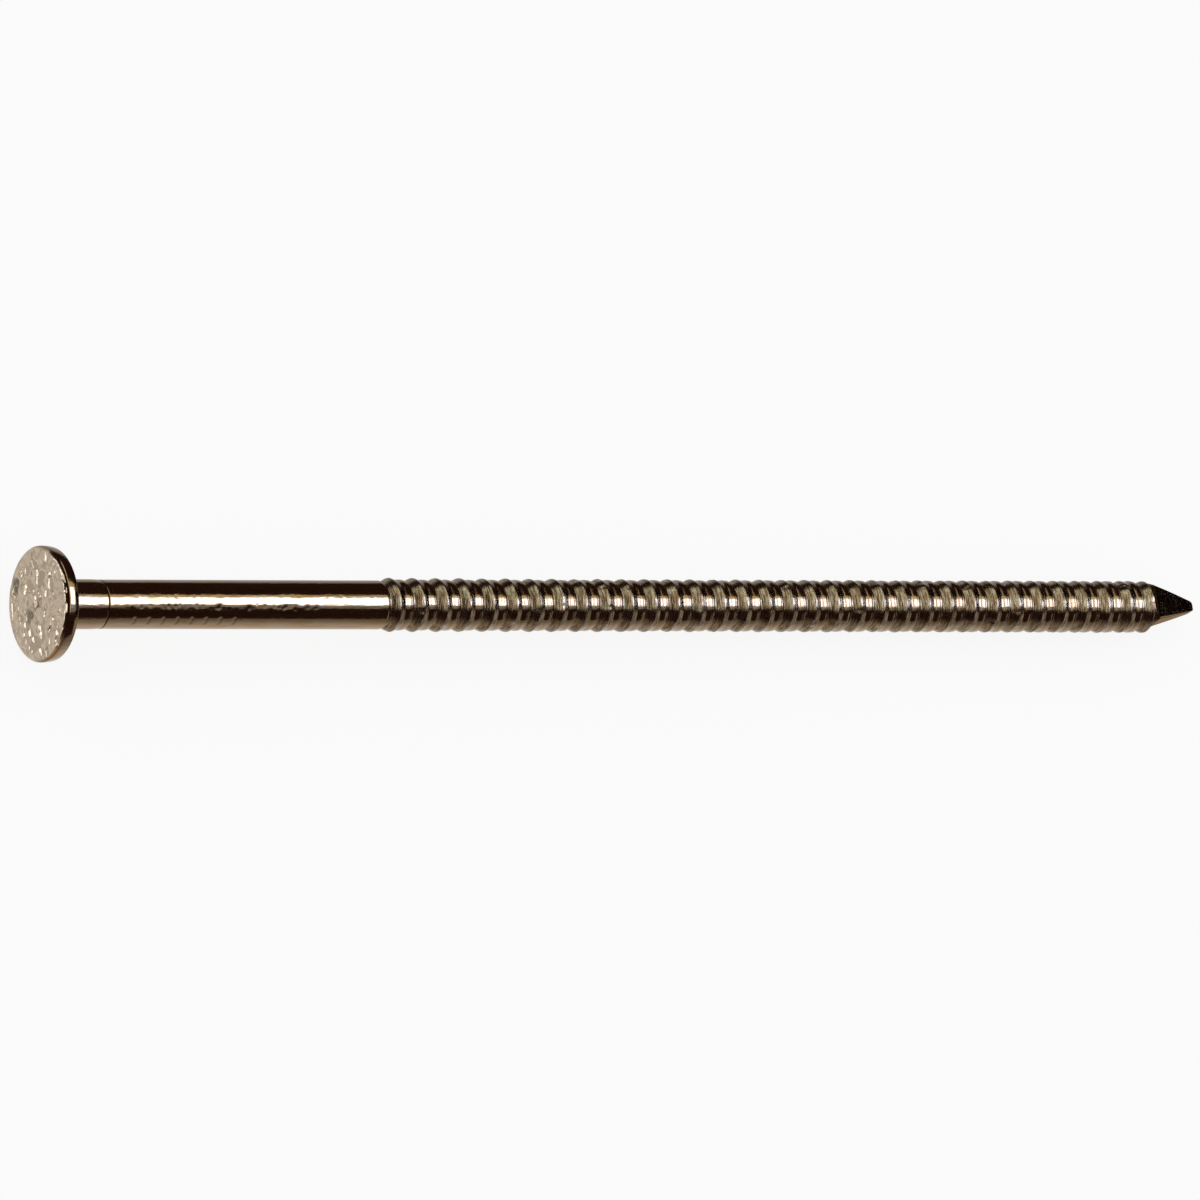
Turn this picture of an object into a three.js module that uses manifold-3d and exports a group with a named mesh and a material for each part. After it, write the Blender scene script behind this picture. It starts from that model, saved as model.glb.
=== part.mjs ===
// Ring-shank nail: one length of steel wire with an upset flat head, a plain shank, rolled annular
// rings and a diamond point. Units are millimetres. The nail lies along +X with its axis through
// the origin: the centre of the head's striking face is the origin and the tip is at +X.
//
// The wire is one piece. It is modelled as the four zones that four operations form, each a closed
// solid that meets the next one face to face on a plane square to the axis.

import * as THREE from "three";
import { mergeVertices } from "three/addons/utils/BufferGeometryUtils.js";
import Module from "manifold-3d";

// Driving dimensions.
const WIRE_DIAMETER = 3.05; // 0.120 in wire
const LENGTH_UNDER_HEAD = 82.4; // nominally 3 1/4 in, underside of the head to the tip
const HEAD_DIAMETER = 7.14; // 9/32 in
const HEAD_THICKNESS = 0.9;
const RING_COUNT = 34;
const RING_PITCH = 1.663;
const POINT_LENGTH = 3.75;
const POINT_TURN = THREE.MathUtils.degToRad(35); // one arris of the point, up from the -Y side
const SEGMENTS = 32; // facets round the wire

const WIRE_RADIUS = WIRE_DIAMETER / 2;
const HEAD_RADIUS = HEAD_DIAMETER / 2;
const OVERALL_LENGTH = HEAD_THICKNESS + LENGTH_UNDER_HEAD;

// Head: a disc with a rounded rim, and a short coned neck under it.
const FACE_ROUNDING = 0.21; // of the rim at the striking face
const UNDER_ROUNDING = 0.14; // of the rim at the underside
const RIM_STEPS = 4;
const NECK_RADIUS = 2.1; // where the neck meets the flat underside
const NECK_LENGTH = 0.55;
const NECK_END = HEAD_THICKNESS + NECK_LENGTH;

// Plain shank: a little thicker between the neck and the edge of the gripping dies.
const SWELL = 0.02;
const DIE_LINE = 4.2; // from the striking face
const DIE_LINE_WIDTH = 0.14;
const DIE_LINE_DEPTH = 0.03;

// Rings: a groove with a steep wall on the head side and a long slope up to a raised lip, then a
// land. Rolling lifts the lands above the wire's surface, the last ones more than the first. Places
// along a ring are shares of the pitch from its lip.
const GROOVE_START = -0.48;
const GROOVE_ROOT = -0.36;
const LAND_START = 0.15;
const LAND_END = 1 + GROOVE_START;
const ROOT_RADIUS = 0.895 * WIRE_RADIUS;
const LIP_RADIUS = 1.083 * WIRE_RADIUS;
const FIRST_LIP_EXTRA = 0.027 * WIRE_RADIUS; // the first lips stand higher
const LIP_SETTLES_OVER = 7; // in rings
const LAND_START_RADII = [1.022 * WIRE_RADIUS, 1.045 * WIRE_RADIUS]; // first ring, last ring
const LAND_END_RADII = [1.038 * WIRE_RADIUS, 1.08 * WIRE_RADIUS]; // first ring, last ring
const LIP_TO_POINT = 0.06 * RING_PITCH;

const RINGS_END = OVERALL_LENGTH - POINT_LENGTH;
const FIRST_LIP = RINGS_END - LIP_TO_POINT - (RING_COUNT - 1) * RING_PITCH;
const RINGS_START = FIRST_LIP + GROOVE_START * RING_PITCH;

// Point: four facets. They leave the wire at a steep shoulder and then taper to a blunt tip. The
// facet distances are from the axis to the middle of a facet.
const SHOULDER_LENGTH = 0.6;
const SHOULDER_FACET = 0.735 * WIRE_RADIUS;
const TIP_FACET = 0.28;
const TIP_BEVEL = 0.12;

// A closed solid turned about the nail's axis. The profile is a list of [along, radius] pairs from
// the head end to the point end; both ends are closed with flat faces.
function turned(profile) {
  const first = profile[0];
  const last = profile[profile.length - 1];
  const outline = [[first[0], 0], ...profile, [last[0], 0]];
  const points = outline.map(([along, radius]) => new THREE.Vector2(radius, along));
  return new THREE.LatheGeometry(points, SEGMENTS);
}

// The rim's rounded corners as arcs, from the striking face round to the underside.
function headProfile() {
  const profile = [];
  const corners = [
    { along: FACE_ROUNDING, rounding: FACE_ROUNDING, from: -Math.PI / 2 },
    { along: HEAD_THICKNESS - UNDER_ROUNDING, rounding: UNDER_ROUNDING, from: 0 },
  ];
  for (const { along, rounding, from } of corners) {
    for (let step = 0; step <= RIM_STEPS; step++) {
      const angle = from + (step / RIM_STEPS) * (Math.PI / 2);
      const radius = HEAD_RADIUS - rounding + rounding * Math.cos(angle);
      profile.push([along + rounding * Math.sin(angle), radius]);
    }
  }
  profile.push([HEAD_THICKNESS, NECK_RADIUS]);
  profile.push([NECK_END, WIRE_RADIUS + SWELL]);
  return profile;
}

// The shank between the neck and the first groove, with the line that the gripping dies leave.
function plainShankProfile() {
  const swollen = WIRE_RADIUS + SWELL;
  return [
    [NECK_END, swollen],
    [DIE_LINE - DIE_LINE_WIDTH / 2, swollen],
    [DIE_LINE, WIRE_RADIUS - DIE_LINE_DEPTH],
    [DIE_LINE + DIE_LINE_WIDTH / 2, WIRE_RADIUS],
    [RINGS_START, WIRE_RADIUS],
  ];
}

// The lip of each ring is a little lower than the one before it, and settles to LIP_RADIUS.
function lipRadius(ring) {
  return LIP_RADIUS + FIRST_LIP_EXTRA * Math.exp(-ring / LIP_SETTLES_OVER);
}

// The radius at a ring, on a straight line from the first ring's to the last ring's.
function alongRings(radii, ring) {
  return THREE.MathUtils.lerp(radii[0], radii[1], ring / (RING_COUNT - 1));
}

function ringedShankProfile() {
  const profile = [[RINGS_START, WIRE_RADIUS]];
  for (let ring = 0; ring < RING_COUNT; ring++) {
    const lip = FIRST_LIP + ring * RING_PITCH;
    profile.push([lip + GROOVE_ROOT * RING_PITCH, ROOT_RADIUS]);
    profile.push([lip, lipRadius(ring)]);
    if (ring < RING_COUNT - 1) {
      profile.push([lip + LAND_START * RING_PITCH, alongRings(LAND_START_RADII, ring)]);
      profile.push([lip + LAND_END * RING_PITCH, alongRings(LAND_END_RADII, ring)]);
    }
  }
  profile.push([RINGS_END, WIRE_RADIUS]);
  return profile;
}

// A four-sided frustum between two places along the nail, given by its facets' distances from the
// axis. CylinderGeometry takes the radius of the arrises, so the distances are scaled up.
function facetedFrustum(start, startFacet, end, endFacet) {
  const toArris = Math.SQRT2;
  const length = end - start;
  const frustum = new THREE.CylinderGeometry(endFacet * toArris, startFacet * toArris, length, 4);
  return frustum.translate(0, start + length / 2, 0);
}

const wasm = await Module();
wasm.setup();

// A three.js geometry as a manifold-3d solid, and back.
function solidOf(geometry) {
  const bare = geometry.clone();
  bare.deleteAttribute("normal");
  bare.deleteAttribute("uv");
  const merged = mergeVertices(bare);
  const mesh = new wasm.Mesh({
    numProp: 3,
    vertProperties: merged.attributes.position.array,
    triVerts: new Uint32Array(merged.index.array),
  });
  return new wasm.Manifold(mesh);
}

function geometryOf(solid) {
  const mesh = solid.getMesh();
  const geometry = new THREE.BufferGeometry();
  geometry.setAttribute("position", new THREE.BufferAttribute(mesh.vertProperties, 3));
  geometry.setIndex(new THREE.BufferAttribute(mesh.triVerts, 1));
  geometry.computeVertexNormals();
  return geometry;
}

// The shoulder and the taper joined, then cut by the wire's own cylinder.
function pointGeometry() {
  const shoulderEnd = RINGS_END + SHOULDER_LENGTH;
  const bevelStart = OVERALL_LENGTH - TIP_BEVEL;
  const taperSlope = (SHOULDER_FACET - TIP_FACET) / (bevelStart - shoulderEnd);
  const taperFacet = SHOULDER_FACET + taperSlope * SHOULDER_LENGTH;
  const shoulder = facetedFrustum(RINGS_END, WIRE_RADIUS, shoulderEnd, SHOULDER_FACET);
  const taper = facetedFrustum(RINGS_END, taperFacet, bevelStart, TIP_FACET);
  const tip = facetedFrustum(bevelStart, TIP_FACET, OVERALL_LENGTH, TIP_FACET - TIP_BEVEL);
  const wire = turned([
    [RINGS_END, WIRE_RADIUS],
    [OVERALL_LENGTH, WIRE_RADIUS],
  ]);
  const arrisToWire = Math.PI / 2 - POINT_TURN;
  const facets = solidOf(shoulder.rotateY(arrisToWire))
    .add(solidOf(taper.rotateY(arrisToWire)))
    .add(solidOf(tip.rotateY(arrisToWire)));
  return geometryOf(facets.intersect(solidOf(wire)));
}

// Finishes: the same bare stainless steel as four operations leave it.
function steel(color, roughness) {
  return new THREE.MeshStandardMaterial({ color, roughness, metalness: 1 });
}

function zone(name, geometry, material) {
  const mesh = new THREE.Mesh(geometry, material);
  mesh.name = name;
  return mesh;
}

const nail = new THREE.Group();
nail.add(
  zone("head", turned(headProfile()), steel(0xb8a68e, 0.45)),
  zone("plain_shank", turned(plainShankProfile()), steel(0xc2b39c, 0.15)),
  zone("ringed_shank", turned(ringedShankProfile()), steel(0xb9a890, 0.28)),
  zone("diamond_point", pointGeometry(), steel(0xb3a28a, 0.2)),
);
nail.rotation.z = -Math.PI / 2; // three.js turns shapes about Y; the nail's axis is X

export default nail;
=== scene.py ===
"""The finished look of a ring-shank nail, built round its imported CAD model.

The nail lies along +X with the centre of its striking face at the origin. Each zone of the wire is a
closed surface worked out with numpy on a grid of places along the axis and angles round it. Angles
are measured from the -Y side up towards +Z.
"""

import math

import bpy
import numpy as np
from bpy.props import FloatProperty, FloatVectorProperty, IntProperty, PointerProperty
from mathutils import Matrix, Vector


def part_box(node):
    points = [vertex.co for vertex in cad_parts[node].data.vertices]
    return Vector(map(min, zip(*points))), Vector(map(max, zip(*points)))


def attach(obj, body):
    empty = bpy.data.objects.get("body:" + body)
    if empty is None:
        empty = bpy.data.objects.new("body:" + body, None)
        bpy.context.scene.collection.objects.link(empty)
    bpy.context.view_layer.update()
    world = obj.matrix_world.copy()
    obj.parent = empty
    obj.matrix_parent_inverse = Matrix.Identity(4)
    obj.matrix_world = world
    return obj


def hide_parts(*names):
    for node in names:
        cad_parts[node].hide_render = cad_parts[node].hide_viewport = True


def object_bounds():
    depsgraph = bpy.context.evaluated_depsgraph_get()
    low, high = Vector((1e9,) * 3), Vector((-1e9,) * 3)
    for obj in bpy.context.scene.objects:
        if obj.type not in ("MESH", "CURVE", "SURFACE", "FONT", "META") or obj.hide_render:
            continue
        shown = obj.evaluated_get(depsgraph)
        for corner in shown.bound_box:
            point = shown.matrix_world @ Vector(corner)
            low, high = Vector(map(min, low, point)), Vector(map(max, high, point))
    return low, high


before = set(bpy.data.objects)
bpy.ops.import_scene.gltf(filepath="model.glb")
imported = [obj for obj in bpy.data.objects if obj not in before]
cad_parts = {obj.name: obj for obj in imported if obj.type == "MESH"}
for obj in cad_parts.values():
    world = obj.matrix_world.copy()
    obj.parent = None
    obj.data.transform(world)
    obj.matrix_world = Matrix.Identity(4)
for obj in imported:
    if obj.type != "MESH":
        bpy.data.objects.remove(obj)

bl_info = {
    "name": "Ring-shank nail",
    "version": (1, 0, 0),
    "blender": (4, 5, 0),
    "location": "View3D > Sidebar > Nail",
    "description": "Builds a headed, ringed and pointed wire nail on its CAD frame",
    "category": "Add Mesh",
}

CAD_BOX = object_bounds()
MM = 0.001
MICRON = 0.000001
TURN = 2 * math.pi

HEAD_LOW, HEAD_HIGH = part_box("head")
SHANK_LOW, SHANK_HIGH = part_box("plain_shank")
RINGS_LOW, RINGS_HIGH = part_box("ringed_shank")
POINT_LOW, POINT_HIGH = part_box("diamond_point")

# The gripping dies leave the wire this much thicker in radius next to the head. The swell fades
# just before the line left by the dies' edge. Their notches lie in two rows, this far from the -Y
# side and opposite it.
SWELL = 0.02 * MM
SWELL_FADES_OVER = 0.7 * MM
LINE_DEPTH = 0.02 * MM
LINE_WIDTH = 0.045 * MM
# Width of the painted shade that darkens the die line's groove.
LINE_SHADE_WIDTH = 0.055 * MM
NOTCH_DEPTH = 0.035 * MM
NOTCH_WIDTH = 0.1 * MM
NOTCH_REACH = math.radians(11)  # each way round the wire
NOTCH_ROW = math.radians(20)

# The rim has a full bevel at the striking face, wider on one side of the head, and a rounded corner
# at the underside. Its wall is highest a third of the way back and lower by RIM_CROWN at the rear.
# The head is struck out of square by this slope, and it falls back on the side at this angle round
# the wire.
FACE_BEVEL = 0.15 * MM
BEVEL_SWING = 0.45  # share that the bevel gains on the leaning side and loses opposite it
UNDER_ROUNDING = 0.14 * MM
RIM_CROWN = 0.05 * MM
RIM_CREST = -0.35  # 1 is the wall's rear end and -1 its front end
HEAD_LEAN = math.tan(math.radians(1.4))
HEAD_LEAN_SIDE = math.radians(62)

# The blow spreads the rim by these shares of its radius: all round, towards the leaning side and
# opposite it, and in waves.
RIM_SPREAD = 0.007
RIM_OVAL = 0.018
RIM_WAVES = 0.0015

# Pebbles of the striking face: how far one may rise and sink, the depth at which one gets half the
# painted shade of a wide hollow, how far the whole face is pushed in, and how far the highest stand
# out.
PEBBLE_RISE = 0.06 * MM
PEBBLE_SINK = 0.05 * MM
HALF_SHADED = 0.06 * MM
FACE_SUNK = 0.01 * MM
PEBBLE_PROUD = 0.02 * MM

# A ring, as shares of the pitch from its lip, and radii as shares of the wire's radius: a land, a
# steep wall down to the groove's root, a long slope up to the raised lip, and a short fall to the
# next land. Rolling lifts the lands above the wire, the last ones more than the first.
GROOVE_START = -0.48
GROOVE_ROOT = -0.36
LAND_START = 0.185
ROOT_RADIUS = 0.895
LIP_RADIUS = 1.083
FIRST_LIP_EXTRA = 0.027
LIP_SETTLES_OVER = 7  # rings
LAND_START_RADII = (1.022, 1.035)  # first ring, last ring
LAND_END_RADII = (1.038, 1.08)
SLOPE_FULLNESS = (1.5, 1.15)  # 1 is a straight slope up to the lip
LAND_WIDTH = 1 + GROOVE_START - LAND_START
LAND_CROWN = (0.031, 0.048)
CROWN_LET_DOWN = 0.6  # share of its crown by which a land is lower, all but at its very ends
CORNER_AVERAGE = 0.03  # the corners are rounded by averaging over this much each way
LIP_TO_POINT = 0.06

# How uneven the rolling is: a lip's height and a land's, and the depth of a nick, as shares of the
# wire's radius, and a lip's place as a share of the pitch.
LIP_WAVES = 0.006
LAND_WAVES = 0.003
NICK_DEPTH = 0.035
NICKS_PER_RING = 4
LIP_DRIFT = 0.014

# The point. A facet's distance from the axis, as a share of the wire's radius, is TAPER_START, less
# TAPER_SLOPE for each millimetre, less TAPER_CURVE for each square millimetre, plus the shoulder.
TAPER_START = 0.815
TAPER_SLOPE = 0.155
TAPER_CURVE = 0.0045
SHOULDER_RISE = 0.185
SHOULDER_LENGTH = 0.6  # millimetres
SHOULDER_POWER = 1.6
TIP_ROUNDING = 0.3 * MM
TIP_CLOSING = 0.92  # 1 would close the tip to a round nose, 0 would leave it square
ARRIS_ROUNDING = 0.05
TIP_LEAN = 0.08 * MM


# ---- Colour ----


def linear(hex_colour):
    """An sRGB hex colour such as "#AE9E8C" as linear red, green and blue."""
    values = [int(hex_colour[i : i + 2], 16) / 255 for i in (1, 3, 5)]
    return [v / 12.92 if v <= 0.04045 else ((v + 0.055) / 1.055) ** 2.4 for v in values]


# ---- What a user would change ----


class NailSizes(bpy.types.PropertyGroup):
    """The nail's dimensions, in metres."""

    wire_diameter: FloatProperty(
        name="Wire diameter",
        description="Diameter of the drawn wire",
        default=SHANK_HIGH.z - SHANK_LOW.z - 2 * SWELL,
        unit="LENGTH",
    )
    head_diameter: FloatProperty(
        name="Head diameter",
        description="Diameter of the flat head over its rim",
        default=HEAD_HIGH.z - HEAD_LOW.z,
        unit="LENGTH",
    )
    head_thickness: FloatProperty(
        name="Head thickness",
        description="From the striking face to the underside",
        default=0.9 * MM,
        unit="LENGTH",
    )
    neck_radius: FloatProperty(
        name="Neck radius",
        description="Radius where the neck meets the head's flat underside",
        default=2.1 * MM,
        unit="LENGTH",
    )
    die_line: FloatProperty(
        name="Die line",
        description="From the striking face to the line left by the edge of the gripping dies",
        default=4.2 * MM,
        unit="LENGTH",
    )
    grip_start: FloatProperty(
        name="First gripper mark",
        description="From the striking face to the first notch of the gripping dies",
        default=6.1 * MM,
        unit="LENGTH",
    )
    grip_pitch: FloatProperty(
        name="Gripper mark pitch",
        description="From one notch of the gripping dies to the next",
        default=1.0 * MM,
        unit="LENGTH",
    )
    grip_count: IntProperty(
        name="Gripper marks",
        description="Notches in each of the two rows",
        default=8,
    )
    ring_pitch: FloatProperty(
        name="Ring pitch",
        description="From one ring's lip to the next",
        default=1.6605 * MM,
        unit="LENGTH",
    )
    ring_count: IntProperty(
        name="Rings",
        description="Number of annular rings",
        default=34,
    )
    point_turn: FloatProperty(
        name="Point turn",
        description="Angle of one arris of the point, up from the -Y side",
        default=math.radians(35),
        subtype="ANGLE",
    )


class NailFinish(bpy.types.PropertyGroup):
    """The colours of the steel as each operation leaves it, and the painted shade laid into the die
    line and into the head's hollows.
    """

    drawn: FloatVectorProperty(
        name="Drawn wire",
        description="Steel drawn through a polished die",
        default=linear("#927C64"),
        subtype="COLOR",
        min=0,
        max=1,
    )
    drawn_film: FloatVectorProperty(
        name="Drawing film",
        description="Thin straw film that the drawing soap leaves in patches",
        default=linear("#8C7150"),
        subtype="COLOR",
        min=0,
        max=1,
    )
    # Painted shade: the dark colour laid into the die line's groove, where shade falls.
    die_line_shade: FloatVectorProperty(
        name="Residue",
        description="Burnt soap left in the die line",
        default=linear("#3A2414"),
        subtype="COLOR",
        min=0,
        max=1,
    )
    struck: FloatVectorProperty(
        name="Struck head",
        description="Steel under the heading punch",
        default=linear("#BFAE98"),
        subtype="COLOR",
        min=0,
        max=1,
    )
    # Painted shade: a darker colour laid into the dents and hollows of the striking face, where
    # shade falls.
    struck_hollow: FloatVectorProperty(
        name="Struck hollows",
        description="Duller steel in the dents of the striking face",
        default=linear("#76695A"),
        subtype="COLOR",
        min=0,
        max=1,
    )
    rolled: FloatVectorProperty(
        name="Rolled groove",
        description="Steel that slid against the ring rolls",
        default=linear("#9A8E78"),
        subtype="COLOR",
        min=0,
        max=1,
    )
    rolled_film: FloatVectorProperty(
        name="Rolled streaks",
        description="Browner streaks that the rolls drag round the wire",
        default=linear("#6E523E"),
        subtype="COLOR",
        min=0,
        max=1,
    )
    pinched: FloatVectorProperty(
        name="Pinched facet",
        description="Steel pressed smooth by the pointing dies",
        default=linear("#8E795F"),
        subtype="COLOR",
        min=0,
        max=1,
    )


class NailStage(bpy.types.PropertyGroup):
    """The camera, and the colour of the floor and of the backdrop behind it."""

    camera_lean: FloatProperty(
        name="Camera lean",
        description="How far the camera stands round towards the head from square on to the nail",
        default=math.radians(30),
        subtype="ANGLE",
    )
    camera_height: FloatProperty(
        name="Camera height",
        description="How far the camera looks down on the nail",
        default=math.radians(62),
        subtype="ANGLE",
    )
    camera_roll: FloatProperty(
        name="Camera roll",
        description="Turn about the line of sight; the tip sits a little lower than the head",
        default=math.radians(0.16),
        subtype="ANGLE",
    )
    camera_distance: FloatProperty(
        name="Camera distance",
        description="From the camera to the middle of the nail",
        default=1.1,
        unit="LENGTH",
    )
    lens: FloatProperty(
        name="Lens",
        description="Focal length in millimetres on a 36 mm frame",
        default=529.0,
    )
    floor: FloatVectorProperty(
        name="Floor",
        description="Glow of the light table's opal top, and colour of the backdrop",
        default=linear("#FAFAFA"),
        subtype="COLOR",
        min=0,
        max=1,
    )


# ---- Surfaces ----


def turned(along, radius, angles):
    """Points round the axis: x = along, y = -radius cos(angle), z = radius sin(angle)."""
    along, radius, angles = np.broadcast_arrays(along, radius, angles)
    return np.stack([along, -radius * np.cos(angles), radius * np.sin(angles)], axis=-1)


def even_angles(columns):
    """Angles round the wire, evenly spaced, as one row."""
    return np.linspace(0, TURN, columns, endpoint=False)[None, :]


def smooth_step(value, low, high):
    """0 below low and 1 above high, with 3t^2 - 2t^3 between them."""
    t = np.clip((value - low) / (high - low), 0, 1)
    return t * t * (3 - 2 * t)


def bell(distance, width):
    """exp(-(distance / width)^2)."""
    return np.exp(-((distance / width) ** 2))


def waviness(angles, rows, waves, seed):
    """For each row, a sum of cosines with 1 to waves whole waves round the wire, each with its own
    random phase and an amplitude of 1 / sqrt(waves), so it closes on itself."""
    source = np.random.default_rng(seed)
    number = np.arange(1, waves + 1)[None, :, None]
    phase = source.uniform(0, TURN, (rows, waves, 1))
    return np.cos(number * angles[:, None, :] + phase).sum(axis=1) / math.sqrt(waves)


def dented(first, second, marks, wrap=None, power=2):
    """Depth of a surface with round dents: the sum of depth * exp(-(distance / size)^power) over the
    marks, each given as (first, second, size, depth). A higher power gives a dent a flatter bottom
    and steeper sides. The second coordinate may wrap round the wire."""
    depth = np.zeros(np.broadcast(first, second).shape)
    for at_first, at_second, size, deepest in marks:
        gap = second - at_second
        if wrap:
            gap = (gap + wrap / 2) % wrap - wrap / 2
        depth += deepest * np.exp(-((np.hypot(first - at_first, gap) / size) ** power))
    return depth


def joined(here, beside):
    """Quads from each row of point numbers to the next, beside being the numbers one place on."""
    return np.stack([here[:-1], here[1:], beside[1:], beside[:-1]], axis=-1).reshape(-1, 4)


def closed_skin(name, rings, **attributes):
    """A closed mesh over rings of points, an array of (rings, points round, 3) from the head end to
    the point end. Quads join each ring to the next, and a fan round a middle point closes each end.
    Each attribute is an array of (rings, points round) and becomes a value on the mesh's points."""
    count, around, _ = rings.shape
    middles = [rings[0].mean(axis=0), rings[-1].mean(axis=0)]
    points = np.concatenate([rings.reshape(-1, 3), middles])
    here = np.arange(count * around).reshape(count, around)
    beside = np.roll(here, -1, axis=1)
    quads = joined(here, beside)
    first_middle = np.full(around, count * around)
    first_fan = np.stack([first_middle, here[0], beside[0]], axis=-1)
    last_fan = np.stack([first_middle + 1, beside[-1], here[-1]], axis=-1)
    fans = np.concatenate([first_fan, last_fan])
    corners = np.concatenate([quads.ravel(), fans.ravel()])
    sizes = np.concatenate([np.full(len(quads), 4), np.full(len(fans), 3)])

    mesh = bpy.data.meshes.new(name)
    mesh.vertices.add(len(points))
    mesh.vertices.foreach_set("co", points.astype(np.float32).ravel())
    mesh.loops.add(len(corners))
    mesh.loops.foreach_set("vertex_index", corners.astype(np.int32))
    mesh.polygons.add(len(sizes))
    mesh.polygons.foreach_set("loop_start", (np.cumsum(sizes) - sizes).astype(np.int32))
    mesh.update(calc_edges=True)
    for key, values in attributes.items():
        ends = [values[0].mean(), values[-1].mean()]
        layer = mesh.attributes.new(key, "FLOAT", "POINT")
        layer.data.foreach_set("value", np.concatenate([values.ravel(), ends]).astype(np.float32))
    if mesh.validate(verbose=True):
        raise RuntimeError(f"{name}: the surface has faces that cannot stand")
    mesh.polygons.foreach_set("use_smooth", np.ones(len(mesh.polygons), bool))
    mesh.set_sharp_from_angle(angle=math.radians(50))
    return mesh


def piece(name, mesh, material, node):
    """Puts a finished mesh into the scene as the piece that stands for a CAD node."""
    made = bpy.data.objects.new(name, mesh)
    bpy.context.scene.collection.objects.link(made)
    mesh.materials.append(material)
    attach(made, "root")
    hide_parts(node)


# ---- Materials ----


def add(tree, kind, inputs=None, **settings):
    """Adds a node, sets its settings, and gives each named or numbered input a value or a link."""
    node = tree.nodes.new(kind)
    for key, value in settings.items():
        setattr(node, key, value)
    for key, value in (inputs or {}).items():
        if isinstance(value, bpy.types.NodeSocket):
            tree.links.new(value, node.inputs[key])
        else:
            node.inputs[key].default_value = value
    return node


def bare_material(name):
    """A new material with an empty node tree."""
    material = bpy.data.materials.new(name)
    material.use_nodes = True
    material.node_tree.nodes.clear()
    return material, material.node_tree


def opaque(colour):
    """Red, green and blue with a full alpha."""
    return (*colour, 1.0)


def mix_colours(tree, share, first, second):
    """The colour that goes from first to second as share goes from 0 to 1."""
    mixed = add(tree, "ShaderNodeMix", {0: share, 6: first, 7: second}, data_type="RGBA")
    return mixed.outputs[2]


def mix_values(tree, share, first, second):
    """The number that goes from first to second as share goes from 0 to 1."""
    mixed = add(tree, "ShaderNodeMix", {0: share, 2: first, 3: second}, data_type="FLOAT")
    return mixed.outputs[0]


def stretched_noise(tree, along, across, detail=2.0, roughness=0.5):
    """Noise on Object coordinates whose features are about `along` metres long in X and `across`
    metres wide in Y and Z."""
    place = add(tree, "ShaderNodeTexCoord")
    scaled = add(
        tree,
        "ShaderNodeMapping",
        {"Vector": place.outputs["Object"], "Scale": (1 / along, 1 / across, 1 / across)},
    )
    grain = {"Vector": scaled.outputs["Vector"], "Scale": 1.0, "Detail": detail}
    grain["Roughness"] = roughness
    return add(tree, "ShaderNodeTexNoise", grain).outputs[0]


def remapped(tree, value, low, high, to_low, to_high):
    """value taken from low..high to to_low..to_high, held at the ends."""
    ends = {0: value, 1: low, 2: high, 3: to_low, 4: to_high}
    return add(tree, "ShaderNodeMapRange", ends).outputs[0]


def bumped(tree, height, depth, normal=None):
    """The shading normal of a surface with that height, from 0 to 1, over that depth in metres."""
    inputs = {"Height": height, "Distance": depth, "Strength": 1.0}
    if normal is not None:
        inputs["Normal"] = normal
    return add(tree, "ShaderNodeBump", inputs).outputs["Normal"]


def steel_surface(tree, colour, roughness, normal, edge_tint=(1.0, 1.0, 1.0)):
    """Bare metal: the colour is all in the reflection. The edge tint is the colour of what it
    reflects at a glancing angle."""
    look = {"Base Color": colour, "Metallic": 1.0, "Roughness": roughness, "Normal": normal}
    look["Specular Tint"] = opaque(edge_tint)
    surface = add(tree, "ShaderNodeBsdfPrincipled", look)
    add(tree, "ShaderNodeOutputMaterial", {"Surface": surface.outputs["BSDF"]})


def drawn_look(tree, finish):
    """Colour, roughness and normal of bright drawn stainless wire. The die leaves fine straight
    lines along the wire, a tenth of a millimetre apart, and the soap a straw film in patches."""
    film = stretched_noise(tree, 2.2 * MM, 0.4 * MM, detail=4.0)
    patch = remapped(tree, film, 0.42, 0.66, 0.0, 1.0)
    colour = mix_colours(tree, patch, opaque(finish.drawn), opaque(finish.drawn_film))
    lines = stretched_noise(tree, 7 * MM, 0.11 * MM, detail=3.0, roughness=0.6)
    fine = stretched_noise(tree, 0.5 * MM, 0.16 * MM, detail=3.0)
    roughness = remapped(tree, lines, 0.3, 0.7, 0.07, 0.14)
    normal = bumped(tree, lines, 3.5 * MICRON)
    normal = bumped(tree, fine, 5.5 * MICRON, normal)
    return colour, roughness, normal


def drawn_wire(finish):
    """Bright drawn stainless wire: a smooth mirror broken by faint lengthwise lines, with painted
    shade darkening the die line."""
    material, tree = bare_material("bright_drawn_stainless_wire")
    colour, roughness, normal = drawn_look(tree, finish)
    # Painted shade: the die line's groove is darkened in colour.
    soiled = add(tree, "ShaderNodeAttribute", attribute_name="soiled").outputs["Fac"]
    colour = mix_colours(tree, soiled, colour, opaque(finish.die_line_shade))
    steel_surface(tree, colour, roughness, normal)
    return material


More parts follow.
